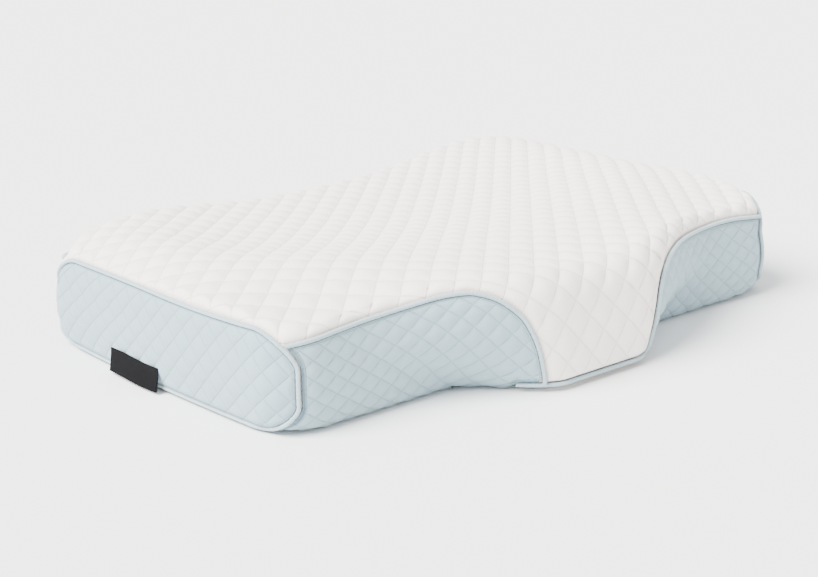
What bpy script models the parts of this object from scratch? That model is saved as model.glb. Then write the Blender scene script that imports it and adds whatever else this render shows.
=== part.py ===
"""Butterfly contour neck pillow, lying on its base.

X runs along the long side, the neck lobe points to -Y, and Z is up. The form is a
rounded slab: a ring of side profiles runs round a rounded rectangle, its front is
drawn out into the lobe, its back is drawn in, and a table of heights crowns its top.
"""

import bmesh
import bpy
import numpy as np

# Plan, in metres
PILLOW_WIDTH = 0.620
WING_DEPTH = 0.3665
PLAN_SHIFT = 0.0343
LOBE_FOOT_REACH = 0.0683
LOBE_TOP_REACH = 0.0626
LOBE_FLAT = 0.0434
LOBE_FOOT_HALF = 0.1217
LOBE_TOP_HALF = 0.2319
BACK_DIP = 0.0117
BACK_DIP_FLAT = 0.003
BACK_DIP_HALF = 0.1743
END_BOW = 0.0067
WARP_FADE = 1.5

# Side profile
BASE_ROUND = 0.0179
WALL_BULGE = 0.0024
SHOULDER_IN = 0.0117
SHOULDER_DOWN = 0.0298
LOBE_SHOULDER_IN = 0.0114
CORNER_ROUND_FRONT = 0.0395
CORNER_ROUND_BACK = 0.0222
CORNER_GROWTH_FRONT = 0.8
CORNER_GROWTH_BACK = 2.17
BASE_END = 0.2
WALL_END = 0.6

# Height of the top over the floor. Rows go out from the middle, as parts of the half
# width. Columns go back: front edge, neck crest, head hollow, back edge.
DEPTH_PARTS = (0.0, 0.28, 0.60, 1.0)
HEIGHTS = (
    (0.00, 0.1050, 0.1080, 0.0932, 0.1010),
    (0.36, 0.1110, 0.1100, 0.0970, 0.1036),
    (0.68, 0.0975, 0.1116, 0.1056, 0.1120),
    (0.86, 0.0945, 0.1056, 0.1090, 0.1043),
    (1.00, 0.0973, 0.1024, 0.0937, 0.0925),
)

# Edge of the white cloth on the front, half of it: distance from the middle, height
FRONT_SEAM = (
    (0.0626, 0.0090),
    (0.0685, 0.0290),
    (0.0742, 0.0490),
    (0.0805, 0.0650),
    (0.0870, 0.0772),
    (0.0960, 0.0870),
    (0.1055, 0.0935),
    (0.1145, 0.0972),
    (0.1225, 0.0990),
    (0.1320, 0.0998),
    (0.1500, 0.0988),
    (0.1700, 0.0960),
    (0.2040, 0.0914),
    (0.2370, 0.0888),
    (0.2620, 0.0870),
    (0.2840, 0.0845),
    (0.2960, 0.0820),
)
FOOT_HALF = 0.063
BASE_SEAM = 0.009
BACK_SEAM = 0.086
BACK_SEAM_HALF = 0.300

# End loop: outer edge of the cord round each end panel
LOOP_INSET = 0.0026
LOOP_BOTTOM = 0.0040
LOOP_TOP_FRONT = 0.0955
LOOP_TOP_BACK = 0.0908
LOOP_ROUND_TOP = 0.0360
LOOP_ROUND_BOTTOM = 0.0250
LOOP_BULGE = 0.0015

# Cloth and cord
GAP = 0.0004
CORD_RADIUS = 0.0025
CORD_LIFT = 0.0006
CORD_STEP = 0.0145
CORD_END_GAP = 0.001
LOOP_GAP = 0.0016
EDGE_GAP = 0.0011
CORD_SIDES_LEVEL = 1
PANEL_THICK = 0.0018
PANEL_EDGE = 0.06
BODY_RECESS = 0.0052
RIM_RECESS = 0.0024
BASE_THICK = 0.0022
BASE_INSET = 0.0135

# Quilting
TOP_COLUMNS = 40
TOP_ROWS = 24
BODY_LAYERS = 10
HIDDEN_LAYERS = 3
RIM_ROW = 0.055
UNDER_CORD = 0.055
SIDE_LENGTH = 0.118
FULL_ROW_GAP = 0.012
TOP_PUFF = 0.0015
TOP_CHANNEL = -0.0018
PANEL_PUFF = 0.0006
PANEL_CHANNEL = -0.0006
DIAMOND_WIDTH = 0.026
DIAMOND_HEIGHT = 0.018

# Label at the foot of the left end
LABEL_WIDTH = 0.078
LABEL_HEIGHT = 0.022
LABEL_THICK = 0.0012
LABEL_PLACE = 0.030
LABEL_FOOT = 0.0022
LABEL_OUT = 0.0068
LABEL_LEAN = 0.0030

# Finishes: colour, roughness
WHITE_CLOTH = ((0.93, 0.90, 0.86, 1.0), 0.85)
BLUE_CLOTH = ((0.60, 0.71, 0.76, 1.0), 0.80)
CORD_CLOTH = ((0.66, 0.77, 0.82, 1.0), 0.75)
LABEL_CLOTH = ((0.02, 0.02, 0.022, 1.0), 0.60)

HALF_WIDTH = PILLOW_WIDTH / 2
HALF_DEPTH = WING_DEPTH / 2
HALF_THICK = 0.055
LOOP_HALF = HALF_DEPTH - LOOP_INSET
CORD_WIDTH = 2 * CORD_RADIUS
LOOP_START = 0.245
FAR = 0.45


def eased(t):
    t = np.clip(t, 0, 1)
    return t * t * (3 - 2 * t)


def bell(across, flat, reach):
    """1 over the flat, falling to 0 at the reach."""
    return 1 - eased((np.abs(across) - flat) / (reach - flat))


def natural_spline(knots, values, places):
    """Natural cubic spline through a row of values at each knot, read at the places."""
    knots = np.asarray(knots, float)
    values = np.asarray(values, float)
    step = np.diff(knots)[:, None]
    slope = np.diff(values, axis=0) / step
    system = np.eye(len(knots))
    right = np.zeros_like(values)
    for k in range(1, len(knots) - 1):
        before, after = step[k - 1, 0], step[k, 0]
        system[k, k - 1 : k + 2] = before, 2 * (before + after), after
        right[k] = 6 * (slope[k] - slope[k - 1])
    bend = np.linalg.solve(system, right)
    k = np.clip(np.searchsorted(knots, places) - 1, 0, len(knots) - 2)
    width = step[k]
    ahead = (np.asarray(places, float)[:, None] - knots[k, None]) / width
    behind = 1 - ahead
    curve = (behind**3 - behind) * bend[k] + (ahead**3 - ahead) * bend[k + 1]
    return behind * values[k] + ahead * values[k + 1] + curve * width**2 / 6


def top_height(across, back):
    """Height of the crowned top. back runs from 0 at the front edge to 1 at the back."""
    table = np.array(HEIGHTS)
    parts, rows = table[:, 0], table[:, 1:]
    parts = np.concatenate([-parts[:0:-1], parts])
    rows = np.concatenate([rows[:0:-1], rows])
    columns = natural_spline(parts, rows, np.clip(across / HALF_WIDTH, -1, 1))
    weights = natural_spline(DEPTH_PARTS, np.eye(4), np.clip(back, 0, 1))
    return (columns * weights).sum(axis=1)


def rounded(x, y, half_x, half_y, radius):
    """Moves points of a rectangle so that its corners become round."""
    core_x = np.clip(x, -(half_x - radius), half_x - radius)
    core_y = np.clip(y, -(half_y - radius), half_y - radius)
    out_x, out_y = x - core_x, y - core_y
    length = np.hypot(out_x, out_y)
    squared = np.maximum(np.abs(out_x), np.abs(out_y))
    scale = np.where(length > 1e-9, squared / np.maximum(length, 1e-9), 1)
    return core_x + out_x * scale, core_y + out_y * scale


def plan(u, v, inset, shoulder, fullness):
    """Place in plan of a point of the square -1..1, drawn in by the inset.

    shoulder is 0 below the top's rounding and 1 past it. fullness is 0 at the floor
    and 1 from the shoulder up, where the lobe is widest.
    """
    front = np.asarray(v) <= 0
    corner = np.where(front, CORNER_ROUND_FRONT, CORNER_ROUND_BACK)
    growth = np.where(front, CORNER_GROWTH_FRONT, CORNER_GROWTH_BACK)
    radius = corner + growth * np.maximum(inset, 0)
    half_x, half_y = HALF_WIDTH - inset, HALF_DEPTH - inset
    x, y = rounded(u * half_x, v * half_y, half_x, half_y, radius)
    x = x * (1 + END_BOW / HALF_WIDTH * (1 - (y / HALF_DEPTH) ** 2))
    back = np.clip((y + HALF_DEPTH) / WING_DEPTH, 0, 1)
    lobe_half = LOBE_FOOT_HALF + (LOBE_TOP_HALF - LOBE_FOOT_HALF) * fullness
    reach = LOBE_FOOT_REACH + (LOBE_TOP_REACH - LOBE_FOOT_REACH) * fullness
    reach = (reach - LOBE_SHOULDER_IN * shoulder) * bell(x, LOBE_FLAT, lobe_half)
    dip = BACK_DIP * bell(x, BACK_DIP_FLAT, BACK_DIP_HALF)
    y = y - (1 - back) ** WARP_FADE * reach - back**WARP_FADE * dip
    return x, y, back


def skin(u, v, rise):
    """Point of the outer form. rise runs up the side: 0 at the floor, 1 at the top."""
    rise = np.clip(rise, 0, 1)
    base_turn = np.pi / 2 * np.clip(rise / BASE_END, 0, 1)
    wall = np.clip((rise - BASE_END) / (WALL_END - BASE_END), 0, 1)
    top_turn = np.pi / 2 * np.clip((rise - WALL_END) / (1 - WALL_END), 0, 1)
    shoulder = 1 - np.cos(top_turn)
    inset = BASE_ROUND * (1 - np.sin(base_turn))
    inset = inset - WALL_BULGE * np.sin(np.pi * wall) + SHOULDER_IN * shoulder
    x, y, back = plan(u, v, inset, shoulder, eased(rise / WALL_END))
    wall_height = top_height(x, back) - SHOULDER_DOWN - BASE_ROUND
    z = BASE_ROUND * (1 - np.cos(base_turn)) + wall * wall_height
    return np.stack([x, y, z + SHOULDER_DOWN * np.sin(top_turn)], axis=1)


def square_at(turn):
    """u and v on the square's edge: turn 0..1 is the front, left to right, then round."""
    turn = np.mod(turn, 4)
    leg = np.floor(turn)
    along = 2 * (turn - leg) - 1
    u = np.select([leg == 0, leg == 1, leg == 2], [along, 1, -along], -1)
    v = np.select([leg == 0, leg == 1, leg == 2], [-1, along, 1], -along)
    return u, v


def side(turn, rise):
    u, v = square_at(np.asarray(turn, float))
    return skin(u, v, np.asarray(rise, float))


def side_normal(turn, rise):
    """Outward normal of the side."""
    nudge = 0.002
    rise = np.clip(rise, nudge, 1 - nudge)
    along = side(turn + nudge, rise) - side(turn - nudge, rise)
    up = side(turn, rise + nudge) - side(turn, rise - nudge)
    normal = np.cross(along, up)
    return normal / np.linalg.norm(normal, axis=1)[:, None]


def settle(targets, axes, turn_range):
    """Turn and rise of the side points whose two given coordinates meet the targets."""
    turns = np.linspace(*turn_range, 160)
    rises = np.linspace(0.01, 0.99, 90)
    grid_t, grid_r = (a.ravel() for a in np.meshgrid(turns, rises))
    near = side(grid_t, grid_r)[:, axes]
    gaps = np.linalg.norm(near[None] - targets[:, None], axis=2)
    first = gaps.argmin(axis=1)
    turn, rise = grid_t[first].copy(), grid_r[first].copy()
    nudge = 1e-4
    for _ in range(8):
        here = side(turn, rise)[:, axes]
        by_turn = (side(turn + nudge, rise)[:, axes] - here) / nudge
        by_rise = (side(turn, rise + nudge)[:, axes] - here) / nudge
        miss = targets - here
        area = by_turn[:, 0] * by_rise[:, 1] - by_turn[:, 1] * by_rise[:, 0]
        area = np.where(np.abs(area) < 1e-9, 1e-9, area)
        step_t = (miss[:, 0] * by_rise[:, 1] - miss[:, 1] * by_rise[:, 0]) / area
        step_r = (miss[:, 1] * by_turn[:, 0] - miss[:, 0] * by_turn[:, 1]) / area
        turn = turn + np.clip(step_t, -0.02, 0.02)
        rise = np.clip(rise + np.clip(step_r, -0.05, 0.05), 0.005, 0.995)
    return turn, rise


def evenly(points, step):
    """The same line with points a step apart, as nearly as its length allows."""
    lengths = np.concatenate([[0], np.cumsum(np.linalg.norm(np.diff(points, axis=0), axis=1))])
    count = max(2, round(lengths[-1] / step) + 1)
    places = np.linspace(0, lengths[-1], count)
    return np.stack([np.interp(places, lengths, points[:, k]) for k in range(points.shape[1])], axis=1)


def arc(centre_y, centre_z, radius, start, end, steps=8):
    angles = np.radians(np.linspace(start, end, steps + 1))
    return [(centre_y + radius * np.cos(a), centre_z + radius * np.sin(a)) for a in angles]


def loop_outline():
    """The end loop's outer edge as y and z, closed, counter-clockwise seen from +X."""
    top, low = LOOP_ROUND_TOP, LOOP_ROUND_BOTTOM
    inner_top, inner_low = LOOP_HALF - top, LOOP_HALF - low
    line = arc(inner_low, LOOP_BOTTOM + low, low, -90, 0)
    line += arc(inner_top, LOOP_TOP_BACK - top, top, 0, 90)
    line += arc(-inner_top, LOOP_TOP_FRONT - top, top, 90, 180)
    line += arc(-inner_low, LOOP_BOTTOM + low, low, 180, 270)
    line.append(line[0])
    return evenly(np.array(line), CORD_STEP / 3)[:-1]


def settle_loop(outline):
    """Turn and rise of the end loop: its place along the side, then its height on it."""
    turns = np.linspace(2.75, 4.25, 3000)
    u, v = square_at(turns)
    level = np.full_like(turns, -LOOP_BULGE)
    still = np.zeros_like(turns)
    _, ring_y, _ = plan(u, v, level, still, still)
    on_end = np.abs(ring_y) < HALF_DEPTH + LOOP_BULGE / 2
    order = np.argsort(ring_y[on_end])
    turn = np.interp(outline[:, 0], ring_y[on_end][order], turns[on_end][order])
    low, high = np.full_like(turn, 0.003), np.full_like(turn, 0.997)
    for _ in range(30):
        rise = (low + high) / 2
        under = side(turn, rise)[:, 2] < outline[:, 1]
        low, high = np.where(under, rise, low), np.where(under, high, rise)
    return turn, rise


def seam_frame(points, normals, closed):
    """Direction in the cloth square to a seam, pointing to the right of its run."""
    if closed:
        run = np.roll(points, -1, axis=0) - np.roll(points, 1, axis=0)
    else:
        run = np.gradient(points, axis=0)
    right = np.cross(run, normals)
    return right / np.linalg.norm(right, axis=1)[:, None]


class Edge:
    """A seam line on the side: points, outward normals, direction into the blue cloth."""

    def __init__(self, turn, rise, into, closed=False):
        self.turn, self.rise = turn, rise
        self.points = side(self.turn, self.rise)
        self.normals = side_normal(self.turn, self.rise)
        self.inward = seam_frame(self.points, self.normals, closed)
        if into is None:
            into = self.points.mean(axis=0) - self.points
        if (into * self.inward).sum() < 0:
            self.inward = -self.inward


def end_loop():
    """The outer edge of the left end's loop."""
    return Edge(*settle_loop(loop_outline()), None, closed=True)


def front_edge():
    """Left half of the front seam, from the lobe's foot out to the end loop."""
    table = np.array(FRONT_SEAM)
    places = np.linspace(0, len(table) - 1, 160)
    curve = natural_spline(np.arange(len(table), dtype=float), table, places)
    targets = np.stack([-curve[:, 0], curve[:, 1]], axis=1)
    turn, rise = settle(targets, [0, 2], (-0.15, 0.5))
    return Edge(turn, rise, np.array([-0.3, 0.0, -1.0]))


def level_edge(half, height, turn_range):
    """A seam at one height, on the front or the back."""
    across = np.linspace(-half, half, 120)
    targets = np.stack([across, np.full_like(across, height)], axis=1)
    turn, rise = settle(targets, [0, 2], turn_range)
    return Edge(turn, rise, np.array([0.0, 0.0, -1.0]))


def back_edge():
    return level_edge(BACK_SEAM_HALF, BACK_SEAM, (1.9, 3.1))


def base_edge():
    return level_edge(FOOT_HALF, BASE_SEAM, (0.2, 0.8))


def mirrored(points):
    return points * np.array([-1, 1, 1])


def white_rim(turn):
    """Rise of the white cloth's edge at each turn: its seams, and the loops' upper edges."""
    loop, front, back, base = end_loop(), front_edge(), back_edge(), base_edge()
    level, depth = loop.points[:, 2], loop.points[:, 1]
    on_top = (level > HALF_THICK) & (depth > front.points[-1, 1]) & (depth < back.points[0, 1])
    turns = [front.turn, loop.turn[on_top], 1 - front.turn, 5 - loop.turn[on_top], back.turn, base.turn]
    rises = [front.rise, loop.rise[on_top], front.rise, loop.rise[on_top], back.rise, base.rise]
    turns, rises = np.mod(np.concatenate(turns), 4), np.concatenate(rises)
    order = np.argsort(turns)
    return np.interp(np.mod(turn, 4), turns[order], rises[order], period=4)


def material(name, finish):
    made = bpy.data.materials.new(name)
    made.use_nodes = True
    shader = made.node_tree.nodes["Principled BSDF"]
    shader.inputs["Base Color"].default_value = finish[0]
    shader.inputs["Roughness"].default_value = finish[1]
    shader.inputs["Metallic"].default_value = 0.0
    return made


def add_object(name, data, collection, finish=None):
    piece = bpy.data.objects.new(name, data)
    collection.objects.link(piece)
    if finish:
        data.materials.append(finish)
    return piece


def mesh_from(bm, name):
    mesh = bpy.data.meshes.new(name)
    bm.to_mesh(mesh)
    bm.free()
    return mesh


def subdivided_box(columns, rows, layers):
    """A box primitive of -1..1 cut into a grid along each axis."""
    bm = bmesh.new()
    bmesh.ops.create_cube(bm, size=2.0)
    for axis, parts in enumerate((columns, rows, layers)):
        along = [e for e in bm.edges if abs(e.verts[0].co[axis] - e.verts[1].co[axis]) > 1.9]
        bmesh.ops.subdivide_edges(bm, edges=along, cuts=parts - 1, use_grid_fill=True)
    return bm


def split_in_diamonds(bm, faces, is_puff):
    """Cuts each square from channel point to channel point, so that diamonds show."""
    for face in faces:
        channel = [v for v in face.verts if not is_puff[v.index]]
        if len(face.verts) == 4 and len(channel) == 2:
            bmesh.utils.face_split(face, channel[0], channel[1])


def turn_at(u, v):
    """Turn of the point where a line from the middle through u, v meets the square."""
    far = np.maximum(np.maximum(np.abs(u), np.abs(v)), 1e-9)
    u, v = u / far, v / far
    front, right, back = v <= -1 + 1e-9, u >= 1 - 1e-9, v >= 1 - 1e-9
    turns = [(1 + u) / 2, 1 + (1 + v) / 2, 2 + (1 - u) / 2]
    return np.select([front, right, back], turns, 3 + (1 - v) / 2)


def body_rises(layer, rim):
    """Rise of each layer of the body: white rows, then rows under the cord and panels."""
    open_rim = rim + RIM_ROW
    part = (BODY_LAYERS - layer) / (BODY_LAYERS - HIDDEN_LAYERS - 1)
    white = 1 - (1 - open_rim) * part
    covered = np.maximum(rim - UNDER_CORD, 0.4 * rim)
    hidden = np.select([layer == HIDDEN_LAYERS, layer == 2, layer == 1], [rim, covered, 0.35 * covered], 0.0)
    return np.where(layer > HIDDEN_LAYERS, white, hidden)


def pillow_body(collection, finish):
    """The filled pillow: its quilted top and lobe, drawn in under panels and cords."""
    bm = subdivided_box(TOP_COLUMNS, TOP_ROWS, BODY_LAYERS)
    floor = [f for f in bm.faces if all(v.co.z < -0.999 for v in f.verts)]
    bmesh.ops.dissolve_faces(bm, faces=floor, use_verts=True)
    bm.verts.index_update()
    box = np.array([v.co[:] for v in bm.verts])
    layer = np.rint((box[:, 2] + 1) / 2 * BODY_LAYERS).astype(int)
    column = np.rint((box[:, 0] + 1) / 2 * TOP_COLUMNS).astype(int)
    row = np.rint((box[:, 1] + 1) / 2 * TOP_ROWS).astype(int)
    is_puff = (layer + column + row) % 2 == 1
    inside = np.abs(box[:, :2]).max(axis=1) < 0.999
    rim = white_rim(turn_at(box[:, 0], box[:, 1]))
    rises = np.where(inside, 1.0, body_rises(layer, rim))
    points = skin(box[:, 0], box[:, 1], rises)
    for vert, point in zip(bm.verts, points):
        vert.co = point
    bm.normal_update()
    normals = np.array([v.normal[:] for v in bm.verts])
    row_gap = (1 - rim) * SIDE_LENGTH / (BODY_LAYERS - HIDDEN_LAYERS)
    room = np.where(inside, 1.0, eased(row_gap / FULL_ROW_GAP))
    relief = np.where(is_puff, TOP_PUFF, TOP_CHANNEL) * room
    relief = np.where(layer == HIDDEN_LAYERS + 1, 0.0, relief)
    relief = np.where(layer == HIDDEN_LAYERS, -RIM_RECESS, relief)
    relief = np.where(layer < HIDDEN_LAYERS, -BODY_RECESS, relief)
    points = points + normals * relief[:, None]
    points[:, 2] = np.maximum(points[:, 2], BASE_THICK + GAP)
    for vert, point in zip(bm.verts, points):
        vert.co = point
    split_in_diamonds(bm, list(bm.faces), is_puff)
    return add_object("pillow_body", mesh_from(bm, "pillow_body"), collection, finish)


def quilted_strip(name, turn_range, collection, finish):
    """A strip of quilted cloth round part of the side, before it is cut to its seams."""
    turns = np.linspace(*turn_range, 400)
    middle = side(turns, np.full_like(turns, 0.45))
    lengths = np.concatenate([[0], np.cumsum(np.linalg.norm(np.diff(middle, axis=0), axis=1))])
    columns = round(lengths[-1] / (DIAMOND_WIDTH / 2))
    turns = np.interp(np.linspace(0, lengths[-1], columns + 1), lengths, turns)
    rises = np.linspace(PANEL_EDGE, 1, 200)
    profile = side(np.full_like(rises, turns[columns // 2]), rises)
    climbs = np.concatenate([[0], np.cumsum(np.linalg.norm(np.diff(profile, axis=0), axis=1))])
    rows = round(climbs[-1] / (DIAMOND_HEIGHT / 2))
    rises = np.interp(np.linspace(0, climbs[-1], rows + 1), climbs, rises)
    bm = bmesh.new()
    bmesh.ops.create_grid(bm, x_segments=columns, y_segments=rows, size=1.0)
    bm.verts.index_update()
    flat = np.array([v.co[:] for v in bm.verts])
    column = np.rint((flat[:, 0] + 1) / 2 * columns).astype(int)
    row = np.rint((flat[:, 1] + 1) / 2 * rows).astype(int)
    is_puff = (column + row) % 2 == 1
    points = side(turns[column], rises[row])
    normals = side_normal(turns[column], rises[row])
    points = points + normals * np.where(is_puff, PANEL_PUFF, PANEL_CHANNEL)[:, None]
    for vert, point in zip(bm.verts, points):
        vert.co = point
    split_in_diamonds(bm, list(bm.faces), is_puff)
    bm.normal_update()
    strip = add_object(name, mesh_from(bm, name), collection, finish)
    wall = strip.modifiers.new("cloth", "SOLIDIFY")
    wall.thickness = PANEL_THICK
    wall.offset = -1.0
    wall.use_even_offset = True
    return strip


def prism(name, outline, axis, low, high, cutters):
    """A closed flat outline drawn out along X or Y."""
    bm = bmesh.new()
    other = 1 if axis == 0 else 0
    corners = []
    for along, up in outline:
        place = [0.0, 0.0, float(up)]
        place[axis] = low
        place[other] = float(along)
        corners.append(bm.verts.new(place))
    face = bm.faces.new(corners)
    drawn = bmesh.ops.extrude_face_region(bm, geom=[face])["geom"]
    shift = [0.0, 0.0, 0.0]
    shift[axis] = high - low
    bmesh.ops.translate(bm, verts=[g for g in drawn if isinstance(g, bmesh.types.BMVert)], vec=shift)
    bmesh.ops.recalc_face_normals(bm, faces=list(bm.faces))
    cutter = add_object(name, mesh_from(bm, name), cutters)
    cutter.hide_render = True
    cutter.display_type = "WIRE"
    return cutter


def trim(piece, cutter, operation):
    cut = piece.modifiers.new(cutter.name, "BOOLEAN")
    cut.operation = operation
    cut.object = cutter
    cut.solver = "EXACT"


def panel_edge(edge, axes):
    """Outline of a panel inside its cord, seen along the cut, clear through its cloth."""
    rim = (edge.points + edge.inward * (CORD_WIDTH + EDGE_GAP))[:, axes]
    depth = -edge.normals[:, axes] * PANEL_THICK
    leans_in = (depth * edge.inward[:, axes]).sum(axis=1) > 0
    return rim + depth * leans_in[:, None]


def end_panel(name, mirror, collection, cutters, finish):
    outline = panel_edge(end_loop(), [1, 2])
    turn_range = (3.0 - 0.09, 4.0 + 0.05)
    sign = 1
    if mirror:
        turn_range = (1.0 - 0.05, 2.0 + 0.09)
        sign = -1
    panel = quilted_strip(name, turn_range, collection, finish)
    low, high = sorted((-sign * FAR, -sign * HALF_WIDTH / 2))
    trim(panel, prism(name + "_outline", outline, 0, low, high, cutters), "INTERSECT")
    return panel


def loop_cutter(name, low, high, cutters):
    """The space that one end's loop and what lies inside it take."""
    loop = end_loop()
    outline = (loop.points - loop.inward * LOOP_GAP)[:, 1:]
    return prism(name, outline, 0, low, high, cutters)


def front_panel(name, mirror, loop_space, collection, cutters, finish):
    edge = panel_edge(front_edge(), [0, 2])
    sign = -1 if mirror else 1
    base_top = BASE_SEAM + GAP
    tail = FOOT_HALF + 0.020
    outline = [(sign * x, z) for x, z in edge if z > base_top + 0.001]
    outline += [(-sign * FAR, outline[-1][1]), (-sign * FAR, -0.01), (-sign * tail, -0.01)]
    outline += [(-sign * tail, base_top), (outline[0][0], base_top)]
    turn_range = (1 + 0.0 - 0.46, 1 + 0.16) if mirror else (4.0 - 0.16, 4.0 + 0.46)
    panel = quilted_strip(name, turn_range, collection, finish)
    trim(panel, prism(name + "_outline", outline, 1, -FAR, 0.0, cutters), "INTERSECT")
    trim(panel, loop_space, "DIFFERENCE")
    return panel


def back_panel(loop_spaces, collection, cutters, finish):
    edge = panel_edge(back_edge(), [0, 2])
    outline = [(-FAR, edge[0, 1])] + [tuple(p) for p in edge[::6]]
    outline += [(FAR, edge[-1, 1]), (FAR, -0.01), (-FAR, -0.01)]
    panel = quilted_strip("back_panel", (2.0 - 0.12, 3.0 + 0.12), collection, finish)
    trim(panel, prism("back_panel_outline", outline, 1, 0.0, FAR, cutters), "INTERSECT")
    for space in loop_spaces:
        trim(panel, space, "DIFFERENCE")
    return panel


def cord(name, path, closed, collection, finish):
    """A covered cord along a path."""
    data = bpy.data.curves.new(name, "CURVE")
    data.dimensions = "3D"
    data.bevel_depth = CORD_RADIUS
    data.bevel_resolution = CORD_SIDES_LEVEL
    data.use_fill_caps = True
    spline = data.splines.new("POLY")
    spline.points.add(len(path) - 1)
    for point, place in zip(spline.points, path):
        point.co = (*place, 1.0)
    spline.use_cyclic_u = closed
    return add_object(name, data, collection, finish)


def cord_path(edge):
    """Middle of a cord that lies just inside an edge of the white cloth."""
    return edge.points + edge.inward * CORD_RADIUS + edge.normals * CORD_LIFT


def clear_of(path, others):
    """The part of a fine path that leaves a gap to other cords."""
    nearest = np.array([np.linalg.norm(others - p, axis=1).min() for p in path])
    return path[nearest > CORD_WIDTH + CORD_END_GAP]


def add_cords(collection, finish):
    loop = cord_path(end_loop())
    loop = np.concatenate([loop, loop[:1]])
    loops = np.concatenate([loop, mirrored(loop)])
    foot = cord_path(base_edge())
    front = clear_of(cord_path(front_edge()), np.concatenate([loop, foot]))
    back = clear_of(cord_path(back_edge()), loops)
    front, back, foot = (evenly(path, CORD_STEP) for path in (front, back, foot))
    loop = evenly(loop, CORD_STEP)[:-1]
    cord("left_end_piping", loop, True, collection, finish)
    cord("right_end_piping", mirrored(loop), True, collection, finish)
    cord("front_left_piping", front, False, collection, finish)
    cord("front_right_piping", mirrored(front), False, collection, finish)
    cord("back_piping", back, False, collection, finish)
    cord("lobe_base_piping", foot, False, collection, finish)


def base_panel(collection, finish):
    """The flat cloth under the pillow."""
    turns = np.linspace(0, 4, 128, endpoint=False)
    u, v = square_at(turns)
    still = np.zeros_like(turns)
    x, y, _ = plan(u, v, np.full_like(turns, BASE_INSET), still, still)
    bm = bmesh.new()
    outline = [bm.verts.new((float(a), float(b), 0.0)) for a, b in zip(x, y)]
    sheet = bm.faces.new(outline)
    drawn = bmesh.ops.extrude_face_region(bm, geom=[sheet])["geom"]
    raised = [g for g in drawn if isinstance(g, bmesh.types.BMVert)]
    bmesh.ops.translate(bm, verts=raised, vec=(0, 0, BASE_THICK))
    bmesh.ops.recalc_face_normals(bm, faces=list(bm.faces))
    return add_object("base_panel", mesh_from(bm, "base_panel"), collection, finish)


def label(collection, finish):
    """A small woven label that hangs over the lower cord of the left end."""
    turn, rise = settle(np.array([[LABEL_PLACE, 0.012]]), [1, 2], (3.1, 3.9))
    foot = side(turn, rise)[0]
    bm = bmesh.new()
    bmesh.ops.create_cube(bm, size=1.0)
    size = (LABEL_THICK, LABEL_WIDTH, LABEL_HEIGHT)
    bmesh.ops.scale(bm, vec=size, verts=list(bm.verts))
    across = [e for e in bm.edges if abs(e.verts[0].co.z - e.verts[1].co.z) > LABEL_HEIGHT / 2]
    bmesh.ops.subdivide_edges(bm, edges=across, cuts=3, use_grid_fill=True)
    for vert in bm.verts:
        up = vert.co.z / LABEL_HEIGHT + 0.5
        vert.co.x += foot[0] - LABEL_OUT + LABEL_LEAN * up * up
        vert.co.y += LABEL_PLACE
        vert.co.z += LABEL_FOOT + LABEL_HEIGHT / 2
    return add_object("label", mesh_from(bm, "label"), collection, finish)


def shade_round(piece):
    if piece.type == "MESH":
        piece.data.shade_smooth()
        piece.data.set_sharp_from_angle(angle=np.radians(50))


def main():
    for old in list(bpy.data.objects):
        bpy.data.objects.remove(old, do_unlink=True)
    pieces = bpy.data.collections.new("contour_pillow")
    cutters = bpy.data.collections.new("cutters")
    for collection in (pieces, cutters):
        bpy.context.scene.collection.children.link(collection)
    cutters.hide_render = True
    white = material("white_quilted_cloth", WHITE_CLOTH)
    blue = material("blue_quilted_cloth", BLUE_CLOTH)
    trim_cloth = material("blue_cord_cloth", CORD_CLOTH)
    black = material("black_woven_label", LABEL_CLOTH)
    pillow_body(pieces, white)
    left_space = loop_cutter("left_loop_space", -FAR, -LOOP_START, cutters)
    right_space = loop_cutter("right_loop_space", LOOP_START, FAR, cutters)
    end_panel("left_end_panel", False, pieces, cutters, blue)
    end_panel("right_end_panel", True, pieces, cutters, blue)
    front_panel("front_left_panel", False, left_space, pieces, cutters, blue)
    front_panel("front_right_panel", True, right_space, pieces, cutters, blue)
    back_panel((left_space, right_space), pieces, cutters, blue)
    base_panel(pieces, blue)
    add_cords(pieces, trim_cloth)
    label(pieces, black)
    for piece in pieces.objects:
        piece.location.y += PLAN_SHIFT
        shade_round(piece)
    for cutter in cutters.objects:
        cutter.location.y += PLAN_SHIFT


main()
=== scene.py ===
"""Butterfly contour pillow: quilted white top, pale blue quilted sides, covered cords."""

import math

import bpy
import numpy as np
from mathutils import Matrix, Vector


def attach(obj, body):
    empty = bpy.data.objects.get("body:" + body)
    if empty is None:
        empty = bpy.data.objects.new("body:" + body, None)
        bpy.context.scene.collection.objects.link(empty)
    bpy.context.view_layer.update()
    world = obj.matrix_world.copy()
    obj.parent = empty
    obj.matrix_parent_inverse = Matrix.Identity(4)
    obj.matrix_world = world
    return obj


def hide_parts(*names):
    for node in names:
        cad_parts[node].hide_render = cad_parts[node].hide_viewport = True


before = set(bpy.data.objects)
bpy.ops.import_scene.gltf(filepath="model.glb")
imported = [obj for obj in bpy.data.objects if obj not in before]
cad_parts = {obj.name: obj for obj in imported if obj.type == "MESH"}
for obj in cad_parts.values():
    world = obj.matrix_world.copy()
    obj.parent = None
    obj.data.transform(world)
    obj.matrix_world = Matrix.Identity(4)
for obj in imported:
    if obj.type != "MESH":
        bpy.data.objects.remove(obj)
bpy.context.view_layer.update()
bpy.ops.object.select_all(action="DESELECT")

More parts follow.
